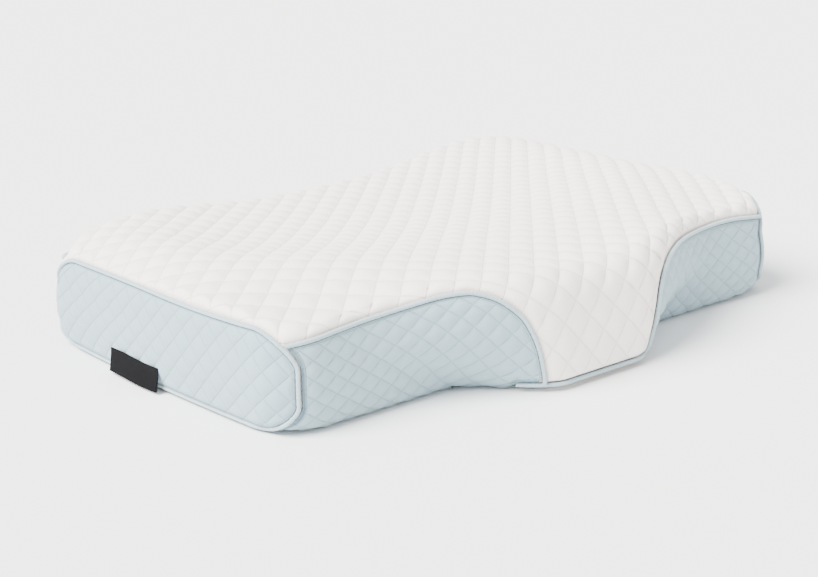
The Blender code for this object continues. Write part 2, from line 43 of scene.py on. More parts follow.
# Form of the pillow, in metres, the same values as its solids
PILLOW_WIDTH = 0.620
WING_DEPTH = 0.3665
PLAN_SHIFT = 0.0343
LOBE_FOOT_REACH = 0.0683
LOBE_TOP_REACH = 0.0626
LOBE_FLAT = 0.0434
LOBE_FOOT_HALF = 0.1217
LOBE_TOP_HALF = 0.2319
BACK_DIP = 0.0117
BACK_DIP_FLAT = 0.003
BACK_DIP_HALF = 0.1743
END_BOW = 0.0067
WARP_FADE = 1.5
BASE_ROUND = 0.0179
WALL_BULGE = 0.0024
SHOULDER_IN = 0.0117
SHOULDER_DOWN = 0.0298
LOBE_SHOULDER_IN = 0.0114
CORNER_ROUND_FRONT = 0.0395
CORNER_ROUND_BACK = 0.0222
CORNER_GROWTH_FRONT = 0.8
CORNER_GROWTH_BACK = 2.17
BASE_END = 0.2
WALL_END = 0.6
DEPTH_PARTS = (0.0, 0.28, 0.60, 1.0)
HEIGHTS = (
    (0.00, 0.1050, 0.1080, 0.0932, 0.1010),
    (0.36, 0.1110, 0.1100, 0.0970, 0.1036),
    (0.68, 0.0975, 0.1116, 0.1056, 0.1120),
    (0.86, 0.0945, 0.1056, 0.1090, 0.1043),
    (1.00, 0.0973, 0.1024, 0.0937, 0.0925),
)

# Front edge of the white cloth: distance from the middle, height on the left and right
FRONT_SEAM = (
    (0.0626, 0.0090, 0.0090),
    (0.0685, 0.0300, 0.0270),
    (0.0742, 0.0490, 0.0490),
    (0.0805, 0.0645, 0.0675),
    (0.0870, 0.0765, 0.0785),
    (0.0960, 0.0862, 0.0875),
    (0.1055, 0.0942, 0.0918),
    (0.1145, 0.0990, 0.0937),
    (0.1225, 0.1018, 0.0946),
    (0.1320, 0.1030, 0.0952),
    (0.1500, 0.1018, 0.0944),
    (0.1700, 0.0985, 0.0925),
    (0.2040, 0.0928, 0.0896),
    (0.2370, 0.0893, 0.0884),
    (0.2620, 0.0874, 0.0866),
    (0.2840, 0.0852, 0.0832),
    (0.2960, 0.0835, 0.0800),
)
FOOT_HALF = 0.0626
BASE_SEAM = 0.009
BACK_SEAM = 0.086
LOOP_INSET = 0.0026
LOOP_BOTTOM = 0.0040
LOOP_TOP_FRONT = 0.0955
LOOP_TOP_BACK = 0.0908
LOOP_ROUND_TOP = 0.0360
LOOP_ROUND_BOTTOM = 0.0250
LOOP_BULGE = 0.0015

# Cloth, cords and stitching
CORD_RADIUS = 0.0019
CORD_LIFT = 0.0006
CORD_TAIL = 0.020
CORD_STEP = 0.0022
CORD_SIDES = 14
PANEL_THICK = 0.0016
PANEL_FOOT = 0.035
FOOT_RISE = 0.132
TUCK_DEPTH = 0.0018
TUCK_REACH = 0.0030
FLANGE_WIDTH = 0.0016
FLANGE_RISE = 0.0004
STITCH_GROOVE = 0.0006
RIM_CROWDING = 0.72
UNDER_PANEL = 0.0046
COVER_FLOOR = 0.0028
PANEL_FLOOR = 0.0004
RIM_DIP = 0.0012
LOOP_CLEAR_TURN = 0.004
UNDERSIDE_THICK = 0.002
UNDERSIDE_INSET = 0.0125
WRINKLE = 0.00012
PUCKER = 0.00011

# Cells of the grids: the top, then the rows down its sides and on under the panels
TOP_GRID = (236, 164)
SIDE_ROWS = 40
HIDDEN_ROWS = 5
END_GRID = (280, 74)
FRONT_GRID = (220, 74)
BACK_GRID = (400, 60)
UNDERSIDE_GRID = (120, 80)
LABEL_GRID = (60, 20)

# Quilting: the top's channels run both ways at 45 degrees, closer towards the back
TOP_CELL = 0.0205
TOP_PUFF = 0.0040
TOP_TAPER = -0.57
LOBE_PUFF = 0.0022
END_DIAMOND = (0.0245, 0.0225)
FRONT_DIAMOND = (0.0240, 0.0178)
PANEL_PUFF = 0.0019

# Label
LABEL_WIDTH = 0.078
LABEL_HEIGHT = 0.022
LABEL_THICK = 0.0009
LABEL_PLACE = 0.030
LABEL_WALL = 0.020
LABEL_BOTTOM = 0.0030
LABEL_OUT = 0.0020
LABEL_FLARE = 0.0030
LABEL_BOW = 0.0012
LABEL_WAVE = 0.0006

# Cloth colours: the cloth, its second darker tone mixed in by noise, and the colour of its stitch
# lines, which is also used as painted shade in the channels and along the seams
WHITE_CLOTH = ((0.95, 0.90, 0.85, 1), (0.92, 0.86, 0.81, 1), (0.66, 0.48, 0.36, 1))
BLUE_CLOTH = ((0.31, 0.425, 0.475, 1), (0.285, 0.395, 0.445, 1), (0.11, 0.18, 0.225, 1))
CORD_CLOTH = ((0.44, 0.565, 0.615, 1), (0.38, 0.51, 0.565, 1), (0.30, 0.40, 0.46, 1))
TAPE = ((0.003, 0.003, 0.0035, 1), (0.006, 0.006, 0.007, 1))
FLOOR_COLOUR = (0.93, 0.93, 0.93, 1)

# Camera, fitted to the photograph's outlines
CAMERA_TURN = 39.82
CAMERA_TILT = 17.89
CAMERA_ROLL = -1.09
CAMERA_AWAY = 1.99377
CAMERA_TARGET = (-0.06635, -0.05805 + PLAN_SHIFT, 0.050)
FOCAL_PIXELS = 2116.81
PICTURE_WIDTH = 818
PICTURE_SHIFT = (0.89, 5.68)

# Studio light
WORLD_GLOW = 1.6
KEY_POWER = 13.0
KEY_SOFTNESS = 40.0
KEY_TINT = (1.0, 0.985, 0.965)
KEY_FROM = (-0.80, 0.12, 0.95)

HALF_WIDTH = PILLOW_WIDTH / 2
HALF_DEPTH = WING_DEPTH / 2
LOOP_HALF = HALF_DEPTH - LOOP_INSET
CORD_WIDTH = 2 * CORD_RADIUS
PANEL_RIM = CORD_WIDTH * 0.96


def eased(t):
    t = np.clip(t, 0, 1)
    return t * t * (3 - 2 * t)


def bell(across, flat, reach):
    return 1 - eased((np.abs(across) - flat) / (reach - flat))


def natural_spline(knots, values, places):
    knots = np.asarray(knots, float)
    values = np.asarray(values, float)
    step = np.diff(knots)[:, None]
    slope = np.diff(values, axis=0) / step
    system = np.eye(len(knots))
    right = np.zeros_like(values)
    for k in range(1, len(knots) - 1):
        before, after = step[k - 1, 0], step[k, 0]
        system[k, k - 1 : k + 2] = before, 2 * (before + after), after
        right[k] = 6 * (slope[k] - slope[k - 1])
    bend = np.linalg.solve(system, right)
    k = np.clip(np.searchsorted(knots, places) - 1, 0, len(knots) - 2)
    width = step[k]
    ahead = (np.asarray(places, float)[:, None] - knots[k, None]) / width
    behind = 1 - ahead
    curve = (behind**3 - behind) * bend[k] + (ahead**3 - ahead) * bend[k + 1]
    return behind * values[k] + ahead * values[k + 1] + curve * width**2 / 6


def top_height(across, back):
    table = np.array(HEIGHTS)
    parts, rows = table[:, 0], table[:, 1:]
    parts = np.concatenate([-parts[:0:-1], parts])
    rows = np.concatenate([rows[:0:-1], rows])
    columns = natural_spline(parts, rows, np.clip(across / HALF_WIDTH, -1, 1))
    weights = natural_spline(DEPTH_PARTS, np.eye(4), np.clip(back, 0, 1))
    return (columns * weights).sum(axis=1)


def rounded(x, y, half_x, half_y, radius):
    core_x = np.clip(x, -(half_x - radius), half_x - radius)
    core_y = np.clip(y, -(half_y - radius), half_y - radius)
    out_x, out_y = x - core_x, y - core_y
    length = np.hypot(out_x, out_y)
    squared = np.maximum(np.abs(out_x), np.abs(out_y))
    scale = np.where(length > 1e-9, squared / np.maximum(length, 1e-9), 1)
    return core_x + out_x * scale, core_y + out_y * scale


def plan(u, v, inset, shoulder, fullness):
    front = np.asarray(v) <= 0
    corner = np.where(front, CORNER_ROUND_FRONT, CORNER_ROUND_BACK)
    growth = np.where(front, CORNER_GROWTH_FRONT, CORNER_GROWTH_BACK)
    radius = corner + growth * np.maximum(inset, 0)
    half_x, half_y = HALF_WIDTH - inset, HALF_DEPTH - inset
    x, y = rounded(u * half_x, v * half_y, half_x, half_y, radius)
    x = x * (1 + END_BOW / HALF_WIDTH * (1 - (y / HALF_DEPTH) ** 2))
    back = np.clip((y + HALF_DEPTH) / WING_DEPTH, 0, 1)
    lobe_half = LOBE_FOOT_HALF + (LOBE_TOP_HALF - LOBE_FOOT_HALF) * fullness
    reach = LOBE_FOOT_REACH + (LOBE_TOP_REACH - LOBE_FOOT_REACH) * fullness
    reach = (reach - LOBE_SHOULDER_IN * shoulder) * bell(x, LOBE_FLAT, lobe_half)
    dip = BACK_DIP * bell(x, BACK_DIP_FLAT, BACK_DIP_HALF)
    y = y - (1 - back) ** WARP_FADE * reach - back**WARP_FADE * dip
    return x, y, back


def skin(u, v, rise):
    """Point of the outer form: rise is 0 at the floor and 1 where the top begins."""
    rise = np.clip(rise, 0, 1)
    base_turn = np.pi / 2 * np.clip(rise / BASE_END, 0, 1)
    wall = np.clip((rise - BASE_END) / (WALL_END - BASE_END), 0, 1)
    top_turn = np.pi / 2 * np.clip((rise - WALL_END) / (1 - WALL_END), 0, 1)
    shoulder = 1 - np.cos(top_turn)
    inset = BASE_ROUND * (1 - np.sin(base_turn))
    inset = inset - WALL_BULGE * np.sin(np.pi * wall) + SHOULDER_IN * shoulder
    x, y, back = plan(u, v, inset, shoulder, eased(rise / WALL_END))
    wall_height = top_height(x, back) - SHOULDER_DOWN - BASE_ROUND
    z = BASE_ROUND * (1 - np.cos(base_turn)) + wall * wall_height
    return np.stack([x, y + PLAN_SHIFT, z + SHOULDER_DOWN * np.sin(top_turn)], axis=1)


def square_at(turn):
    turn = np.mod(turn, 4)
    leg = np.floor(turn)
    along = 2 * (turn - leg) - 1
    u = np.select([leg == 0, leg == 1, leg == 2], [along, 1, -along], -1)
    v = np.select([leg == 0, leg == 1, leg == 2], [-1, along, 1], -along)
    return u, v


def turn_at(u, v):
    """The inverse of square_at, for points on the square's edge."""
    front = (1 + u) / 2
    right = 1 + (1 + v) / 2
    back = 2 + (1 - u) / 2
    left = 3 + (1 - v) / 2
    on_front = (-v >= np.abs(u)) & (v < 0)
    on_right = (u >= np.abs(v)) & ~on_front
    on_back = (v >= np.abs(u)) & ~on_front & ~on_right
    return np.select([on_front, on_right, on_back], [front, right, back], left)


def side(turn, rise):
    u, v = square_at(np.asarray(turn, float))
    return skin(u, v, np.asarray(rise, float))


def side_normal(turn, rise):
    nudge = 0.002
    rise = np.clip(rise, nudge, 1 - nudge)
    along = side(turn + nudge, rise) - side(turn - nudge, rise)
    up = side(turn, rise + nudge) - side(turn, rise - nudge)
    normal = np.cross(along, up)
    return normal / np.linalg.norm(normal, axis=1)[:, None]


def settle(targets, axes, turn_range):
    """Turn and rise of the side points whose two given coordinates meet the targets."""
    turns = np.linspace(*turn_range, 160)
    rises = np.linspace(0.01, 0.99, 90)
    grid_t, grid_r = (a.ravel() for a in np.meshgrid(turns, rises))
    near = side(grid_t, grid_r)[:, axes]
    first = np.empty(len(targets), int)
    for start in range(0, len(targets), 400):
        part = targets[start : start + 400]
        first[start : start + 400] = ((near[None] - part[:, None]) ** 2).sum(axis=2).argmin(axis=1)
    turn, rise = grid_t[first].copy(), grid_r[first].copy()
    nudge = 1e-4
    for _ in range(8):
        here = side(turn, rise)[:, axes]
        by_turn = (side(turn + nudge, rise)[:, axes] - here) / nudge
        by_rise = (side(turn, rise + nudge)[:, axes] - here) / nudge
        miss = targets - here
        area = by_turn[:, 0] * by_rise[:, 1] - by_turn[:, 1] * by_rise[:, 0]
        area = np.where(np.abs(area) < 1e-9, 1e-9, area)
        step_t = (miss[:, 0] * by_rise[:, 1] - miss[:, 1] * by_rise[:, 0]) / area
        step_r = (miss[:, 1] * by_turn[:, 0] - miss[:, 0] * by_turn[:, 1]) / area
        turn = turn + np.clip(step_t, -0.02, 0.02)
        rise = np.clip(rise + np.clip(step_r, -0.05, 0.05), 0.005, 0.995)
    return turn, rise


def run_lengths(points):
    return np.concatenate([[0], np.cumsum(np.linalg.norm(np.diff(points, axis=0), axis=1))])


def evenly(points, step):
    lengths = run_lengths(points)
    count = max(2, round(lengths[-1] / step) + 1)
    places = np.linspace(0, lengths[-1], count)
    columns = [np.interp(places, lengths, points[:, k]) for k in range(points.shape[1])]
    return np.stack(columns, axis=1)


def arc(centre_y, centre_z, radius, start, end, steps=16):
    angles = np.radians(np.linspace(start, end, steps + 1))
    return [(centre_y + radius * np.cos(a), centre_z + radius * np.sin(a)) for a in angles]


def loop_outline(step):
    top, low = LOOP_ROUND_TOP, LOOP_ROUND_BOTTOM
    inner_top, inner_low = LOOP_HALF - top, LOOP_HALF - low
    line = arc(inner_low, LOOP_BOTTOM + low, low, -90, 0)
    line += arc(inner_top, LOOP_TOP_BACK - top, top, 0, 90)
    line += arc(-inner_top, LOOP_TOP_FRONT - top, top, 90, 180)
    line += arc(-inner_low, LOOP_BOTTOM + low, low, 180, 270)
    line.append(line[0])
    line = evenly(np.array(line), step)[:-1]
    return line + np.array([PLAN_SHIFT, 0])


def settle_loop(outline):
    """Turn and rise of the end loop: its place along the side, then its height on it."""
    turns = np.linspace(2.75, 4.25, 3000)
    u, v = square_at(turns)
    level = np.full_like(turns, -LOOP_BULGE)
    still = np.zeros_like(turns)
    _, ring_y, _ = plan(u, v, level, still, still)
    on_end = np.abs(ring_y) < HALF_DEPTH + LOOP_BULGE / 2
    order = np.argsort(ring_y[on_end])
    turn = np.interp(outline[:, 0] - PLAN_SHIFT, ring_y[on_end][order], turns[on_end][order])
    low, high = np.full_like(turn, 0.003), np.full_like(turn, 0.997)
    for _ in range(30):
        rise = (low + high) / 2
        under = side(turn, rise)[:, 2] < outline[:, 1]
        low, high = np.where(under, rise, low), np.where(under, high, rise)
    return turn, rise


def seam_frame(points, normals, closed):
    if closed:
        run = np.roll(points, -1, axis=0) - np.roll(points, 1, axis=0)
    else:
        run = np.gradient(points, axis=0)
    right = np.cross(run, normals)
    return right / np.linalg.norm(right, axis=1)[:, None]


class Edge:
    """A seam line on the form: its points, outward normals and direction into the blue cloth."""

    def __init__(self, turn, rise, closed=False):
        self.turn, self.rise, self.closed = turn, rise, closed
        self.points, self.normals = side(turn, rise), side_normal(turn, rise)
        self.inward = seam_frame(self.points, self.normals, closed)

    def facing(self, away):
        if (away * self.inward).sum() < 0:
            self.inward = -self.inward
        return self


def end_edge(right):
    turn, rise = settle_loop(loop_outline(0.003))
    if right:
        turn = 5 - turn
    edge = Edge(turn, rise, closed=True)
    return edge.facing(edge.points.mean(axis=0) - edge.points)


def front_edge(right):
    table = np.array(FRONT_SEAM)[:, [0, 2 if right else 1]]
    places = np.linspace(0, len(table) - 1, 240)
    curve = natural_spline(np.arange(len(table), dtype=float), table, places)
    sign = 1 if right else -1
    targets = np.stack([sign * curve[:, 0], curve[:, 1]], axis=1)
    turn, rise = settle(targets, [0, 2], (0.5, 1.15) if right else (-0.15, 0.5))
    edge = Edge(turn, rise)
    return edge.facing(np.tile([sign * 0.3, 0.0, -1.0], (len(turn), 1)))


def back_edge():
    across = np.linspace(-0.300, 0.300, 200)
    targets = np.stack([across, np.full_like(across, BACK_SEAM)], axis=1)
    turn, rise = settle(targets, [0, 2], (1.9, 3.1))
    edge = Edge(turn, rise)
    return edge.facing(np.tile([0.0, 0.0, -1.0], (len(turn), 1)))


def base_edge():
    across = np.linspace(-FOOT_HALF - CORD_TAIL, FOOT_HALF + CORD_TAIL, 110)
    targets = np.stack([across, np.full_like(across, BASE_SEAM)], axis=1)
    turn, rise = settle(targets, [0, 2], (0.2, 0.8))
    edge = Edge(turn, rise)
    return edge.facing(np.tile([0.0, 0.0, -1.0], (len(turn), 1)))


def base_middle():
    """The part of the base seam that the white cloth comes down to."""
    kept = np.abs(BASE_EDGE.points[:, 0]) < FOOT_HALF
    return BASE_EDGE.turn[kept], BASE_EDGE.rise[kept]


LEFT_LOOP, RIGHT_LOOP = end_edge(False), end_edge(True)
LEFT_FRONT, RIGHT_FRONT = front_edge(False), front_edge(True)
BACK_EDGE, BASE_EDGE = back_edge(), base_edge()


def nearest(points, others):
    found = np.empty(len(points))
    for start in range(0, len(points), 600):
        part = points[start : start + 600]
        gaps = ((others[None] - part[:, None]) ** 2).sum(axis=2)
        found[start : start + 600] = np.sqrt(gaps.min(axis=1))
    return found


def clear_of(line, others, gap):
    """The stretch of a line that keeps a gap to other points, as a mask."""
    return nearest(line, others) > gap


def loop_top(edge, front_end, back_end):
    """The part of an end loop above the places where the front and back seams meet it."""
    kept = edge.points[:, 2] > 0.06
    kept &= (edge.points[:, 1] > front_end[1]) & (edge.points[:, 1] < back_end[1])
    order = np.argsort(np.mod(edge.turn[kept] + 0.5, 4))
    return np.mod(edge.turn[kept][order] + 0.5, 4) - 0.5, edge.rise[kept][order]


def white_rim():
    """Rise of the white cloth's edge at every turn, as one line round the pillow."""
    left_turn, left_rise = loop_top(LEFT_LOOP, LEFT_FRONT.points[-1], BACK_EDGE.points[0])
    right_turn, right_rise = loop_top(RIGHT_LOOP, RIGHT_FRONT.points[-1], BACK_EDGE.points[-1])
    base_turn, base_rise = base_middle()
    turns = [LEFT_FRONT.turn, base_turn, RIGHT_FRONT.turn, right_turn, BACK_EDGE.turn, left_turn]
    rises = [LEFT_FRONT.rise, base_rise, RIGHT_FRONT.rise, right_rise, BACK_EDGE.rise, left_rise]
    turns, rises = np.mod(np.concatenate(turns), 4), np.concatenate(rises)
    order = np.argsort(turns)
    turns, rises = turns[order], rises[order]
    turns = np.concatenate([turns - 4, turns, turns + 4])
    return turns, np.tile(rises, 3)


RIM_TURNS, RIM_RISES = white_rim()
WHITE_EDGE = np.concatenate(
    [e.points for e in (LEFT_FRONT, BASE_EDGE, RIGHT_FRONT, BACK_EDGE, LEFT_LOOP, RIGHT_LOOP)]
)


def rim_rise(turn):
    return np.interp(np.mod(turn, 4), RIM_TURNS, RIM_RISES)


def place(obj, points):
    obj.data.vertices.foreach_set("co", np.ascontiguousarray(points, dtype=np.float32).ravel())
    obj.data.update()


def coordinates(obj):
    flat = np.empty(len(obj.data.vertices) * 3, dtype=np.float32)
    obj.data.vertices.foreach_get("co", flat)
    return flat.reshape(-1, 3).astype(float)


def vertex_normals(obj):
    flat = np.empty(len(obj.data.vertices) * 3, dtype=np.float32)
    obj.data.vertices.foreach_get("normal", flat)
    return flat.reshape(-1, 3).astype(float)


def lay_cloth(obj, cloth):
    """Writes each corner's place in the cloth, in quilting cells, to the UV map."""
    if not obj.data.uv_layers:
        obj.data.uv_layers.new(name="cloth")
    layer = obj.data.uv_layers[0]
    layer.name = "cloth"
    corners = np.empty(len(obj.data.loops), dtype=np.int32)
    obj.data.loops.foreach_get("vertex_index", corners)
    layer.data.foreach_set("uv", np.ascontiguousarray(cloth[corners], dtype=np.float32).ravel())


def mark(obj, name, values):
    layer = obj.data.attributes.new(name, "FLOAT", "POINT")
    layer.data.foreach_set("value", np.ascontiguousarray(values, dtype=np.float32))


def grid(name, columns, rows):
    """A flat grid primitive of -1..1 with that many cells."""
    bpy.ops.object.select_all(action="DESELECT")
    bpy.ops.mesh.primitive_grid_add(x_subdivisions=columns, y_subdivisions=rows, size=2)
    piece = bpy.context.object
    piece.name = piece.data.name = name
    return piece


def bubbles(cloth, sharpness):
    """Height of the quilting, 0 in the channels and 1 at the crown of each cell."""
    wave = np.abs(np.sin(np.pi * cloth))
    return (wave[:, 0] * wave[:, 1]) ** sharpness


def top_cloth(points):
    """Place in the top cloth of points spread out in plan."""
    turn = math.radians(CAMERA_TURN)
    right = points[:, 0] * math.cos(turn) - points[:, 1] * math.sin(turn)
    ahead = points[:, 0] * math.sin(turn) + points[:, 1] * math.cos(turn)
    taper = 1 + TOP_TAPER * ahead
    right, ahead = right / taper, ahead / taper
    lean = math.radians(45 - CAMERA_TURN)
    along = right * math.cos(lean) - ahead * math.sin(lean)
    across = right * math.sin(lean) + ahead * math.cos(lean)
    return np.stack([along, across], axis=1) / TOP_CELL


def pillow_cover():
    """The filled pillow with its white cloth, drawn in under the blue panels."""
    columns, rows = TOP_GRID
    band, under = SIDE_ROWS, HIDDEN_ROWS
    total = band + under
    piece = grid("pillow_cover", columns + 2 * total, rows + 2 * total)
    flat = coordinates(piece)
    i = np.rint((flat[:, 0] + 1) / 2 * (columns + 2 * total)).astype(int) - total
    j = np.rint((flat[:, 1] + 1) / 2 * (rows + 2 * total)).astype(int) - total
    out = np.maximum.reduce([-i, i - columns, -j, j - rows, np.zeros_like(i)])
    half_i, half_j = columns / 2, rows / 2
    u = (i - half_i) / (half_i + out)
    v = (j - half_j) / (half_j + out)
    is_side = out > 0
    edge_u = np.where(is_side, np.clip(u, -1, 1), u)
    edge_v = np.where(is_side, np.clip(v, -1, 1), v)
    turn = turn_at(edge_u, edge_v)
    rim = rim_rise(turn)
    down = np.clip(out / band, 0, 1)
    rise = np.where(is_side, 1 - (1 - rim) * down, 1.0)
    hidden = np.clip((out - band) / under, 0, 1)
    rise = np.where(out > band, rim * (1 - hidden) + 0.02 * hidden, rise)
    points = skin(edge_u, edge_v, rise)
    place(piece, points)
    normals = vertex_normals(piece)
    if normals[np.argmax(points[:, 2])][2] < 0:
        normals = -normals

    ring = skin(edge_u, edge_v, np.ones(len(points)))
    fold = np.zeros_like(points)
    steps = 24
    for k in range(steps):
        high = 1 - (1 - rise) * k / steps
        low = 1 - (1 - rise) * (k + 1) / steps
        step = skin(edge_u, edge_v, low) - skin(edge_u, edge_v, high)
        fold += np.linalg.norm(step, axis=1)[:, None]
    past = skin(edge_u, edge_v, np.full(len(points), 0.92)) - ring
    past[:, 2] = 0
    past /= np.maximum(np.linalg.norm(past, axis=1), 1e-9)[:, None]
    flat_place = np.where(is_side[:, None], ring + past * fold, points)
    cloth = top_cloth(flat_place)

    distance = nearest(points, WHITE_EDGE)
    white = out <= band
    near_edge = np.exp(-((distance / TUCK_REACH) ** 2))
    fade = eased((distance - 0.001) / 0.009)
    on_lobe = eased((1 - rise) / 0.5)
    puff = TOP_PUFF + (LOBE_PUFF - TOP_PUFF) * on_lobe
    lift = puff * (bubbles(cloth, 0.55) - 0.45) * fade - TUCK_DEPTH * near_edge
    sunk = -UNDER_PANEL * eased(hidden * under / 1.2) - TUCK_DEPTH * (1 - hidden)
    lift = np.where(white, lift, sunk)
    points = points + normals * lift[:, None]
    points[:, 2] = np.maximum(points[:, 2], COVER_FLOOR)
    place(piece, points)
    lay_cloth(piece, cloth)
    # Distance to the seam; the material darkens the cloth near it as painted shade
    mark(piece, "edge", distance)

    bpy.ops.object.mode_set(mode="EDIT")
    bpy.ops.mesh.select_all(action="DESELECT")
    bpy.ops.mesh.select_mode(type="EDGE")
    bpy.ops.mesh.select_non_manifold()
    bpy.ops.mesh.edge_face_add()
    bpy.ops.mesh.select_all(action="SELECT")
    bpy.ops.mesh.normals_make_consistent(inside=False)
    bpy.ops.object.mode_set(mode="OBJECT")
    bpy.ops.object.shade_smooth()
    return piece


def crowded(t):
    """Draws the lines of a grid of -1..1 towards its rims, where the stitching is fine."""
    return (1 - RIM_CROWDING) * t + RIM_CROWDING * np.sin(np.pi / 2 * t)


def diamonds(along, up, diamond):
    """Place in the side cloth, so that whole numbers are its channels."""
    lean = along / diamond[0]
    climb = up / diamond[1]
    return np.stack([lean + climb, lean - climb], axis=1)


def finish_panel(piece, turn, rise, rim_points, diamond):
    """Puffs a panel that lies on the side, tucks its rim under the cords and thickens it."""
    middle = np.linspace(-0.5, 4.5, 3000)
    lengths = run_lengths(side(middle, np.full_like(middle, 0.45)))
    along = np.interp(np.where(turn > 4.2, turn - 4, turn), middle, lengths)
    climb_at = np.linspace(0, 1, 400)
    climbs = run_lengths(side(np.full_like(climb_at, 3.5), climb_at))
    up = np.interp(rise, climb_at, climbs)
    cloth = diamonds(along, up, diamond)
    points, normals = side(turn, rise), side_normal(turn, rise)
    distance = nearest(points, rim_points)
    inner = np.maximum(distance - CORD_WIDTH, 0)
    fade = eased((inner - FLANGE_WIDTH) / 0.005)
    lift = PANEL_PUFF * (bubbles(cloth, 0.6) - 0.4) * fade
    lift += FLANGE_RISE * np.sin(np.pi * np.clip(inner / FLANGE_WIDTH, 0, 1))
    lift -= STITCH_GROOVE * np.exp(-(((inner - FLANGE_WIDTH * 1.15) / 0.0006) ** 2))
    lift -= RIM_DIP * np.exp(-((inner / 0.0005) ** 2))
    points = points + normals * lift[:, None]
    points[:, 2] = np.maximum(points[:, 2], PANEL_FLOOR)
    place(piece, points)
    lay_cloth(piece, cloth)
    # Distance from the cord; the material darkens the cloth near it as painted shade
    mark(piece, "edge", inner)
    outward = vertex_normals(piece)
    if (outward * normals).sum() < 0:
        piece.data.flip_normals()
    bpy.ops.object.shade_smooth()
    wall = piece.modifiers.new("cloth", "SOLIDIFY")
    wall.thickness = PANEL_THICK
    wall.offset = -1
    bpy.ops.object.modifier_apply(modifier="cloth")
    return piece


def end_panel(name, edge, right):
    columns, rows = END_GRID
    piece = grid(name, columns, rows)
    flat = crowded(coordinates(piece))
    rim = edge.points + edge.inward * PANEL_RIM
    low_y, high_y = rim[:, 1].min(), rim[:, 1].max()
    low_z = rim[:, 2].min()
    middle_y, half_y = (low_y + high_y) / 2, (high_y - low_y) / 2
    front_top = LOOP_TOP_FRONT - PANEL_RIM
    back_top = LOOP_TOP_BACK - PANEL_RIM
    high_z = max(front_top, back_top)
    half_z = (high_z - low_z) / 2
    radius = np.where(flat[:, 1] > 0, LOOP_ROUND_TOP, LOOP_ROUND_BOTTOM) - CORD_WIDTH
    y, z = rounded(flat[:, 0] * half_y, flat[:, 1] * half_z, half_y, half_z, radius)
    up = (z + half_z) / (2 * half_z)
    top = front_top + (back_top - front_top) * (y + half_y) / (2 * half_y)
    z = low_z + up * (top - low_z)
    y = y + middle_y
    turn, rise = settle_loop(np.stack([y, z], axis=1))
    if right:
        turn = 5 - turn
    return finish_panel(piece, turn, rise, edge.points, END_DIAMOND)


def loop_turn(edge, rise):
    """Turn of the loop's outer edge on the front corner, at each rise."""
    facing_front = edge.points[:, 1] < PLAN_SHIFT - 0.12
    order = np.argsort(edge.rise[facing_front])
    return np.interp(rise, edge.rise[facing_front][order], edge.turn[facing_front][order])


def loop_turn_back(edge, rise):
    facing_back = edge.points[:, 1] > PLAN_SHIFT + 0.12
    order = np.argsort(edge.rise[facing_back])
    return np.interp(rise, edge.rise[facing_back][order], edge.turn[facing_back][order])


def seam_below(edge, cord_gap):
    """Turn and rise of the line that runs a cord's width inside an edge."""
    points = edge.points + edge.inward * cord_gap
    low, high = edge.turn.min() - 0.05, edge.turn.max() + 0.05
    return settle(points[:, [0, 2]], [0, 2], (low, high))


def panel_foot(turn):
    """Rise of a front panel's lower rim: under the pillow, or on the lobe's base cord."""
    across = np.abs(2 * np.mod(turn, 4) - 1) * HALF_WIDTH
    on_cord = 1 - eased((across - FOOT_HALF - CORD_TAIL) / 0.006)
    return PANEL_FOOT + (FOOT_RISE - PANEL_FOOT) * on_cord


def front_panel(name, edge, loop, right):
    columns, rows = FRONT_GRID
    piece = grid(name, columns, rows)
    flat = (crowded(coordinates(piece))[:, :2] + 1) / 2
    seam_turn, seam_rise = seam_below(edge, PANEL_RIM)
    order = np.argsort(seam_turn)
    seam_turn, seam_rise = seam_turn[order], seam_rise[order]
    foot_turn = seam_turn[-1] if not right else seam_turn[0]
    gap_turn = -LOOP_CLEAR_TURN if right else LOOP_CLEAR_TURN
    foot_turn -= gap_turn
    rise = PANEL_FOOT + flat[:, 1] * 0.7
    for _ in range(12):
        outer = loop_turn(loop, rise) + gap_turn
        if not right:
            outer = np.where(outer > 2, outer - 4, outer)
        turn = outer + (foot_turn - outer) * flat[:, 0]
        top = np.interp(turn, seam_turn, seam_rise)
        low = panel_foot(turn)
        rise = low + flat[:, 1] * np.maximum(top - low, 0.0005)
    rim = np.concatenate([edge.points, loop.points, BASE_EDGE.points])
    return finish_panel(piece, turn, rise, rim, FRONT_DIAMOND)


def back_panel():
    columns, rows = BACK_GRID
    piece = grid("back_panel_cloth", columns, rows)
    flat = (crowded(coordinates(piece))[:, :2] + 1) / 2
    seam_turn, seam_rise = seam_below(BACK_EDGE, PANEL_RIM)
    order = np.argsort(seam_turn)
    seam_turn, seam_rise = seam_turn[order], seam_rise[order]
    rise = PANEL_FOOT + flat[:, 1] * 0.7
    for _ in range(12):
        right_turn = loop_turn_back(RIGHT_LOOP, rise) + LOOP_CLEAR_TURN
        left_turn = loop_turn_back(LEFT_LOOP, rise) - LOOP_CLEAR_TURN
        turn = right_turn + (left_turn - right_turn) * flat[:, 0]
        top = np.interp(turn, seam_turn, seam_rise)
        rise = PANEL_FOOT + flat[:, 1] * (top - PANEL_FOOT)
    rim = np.concatenate([BACK_EDGE.points, LEFT_LOOP.points, RIGHT_LOOP.points])
    return finish_panel(piece, turn, rise, rim, FRONT_DIAMOND)


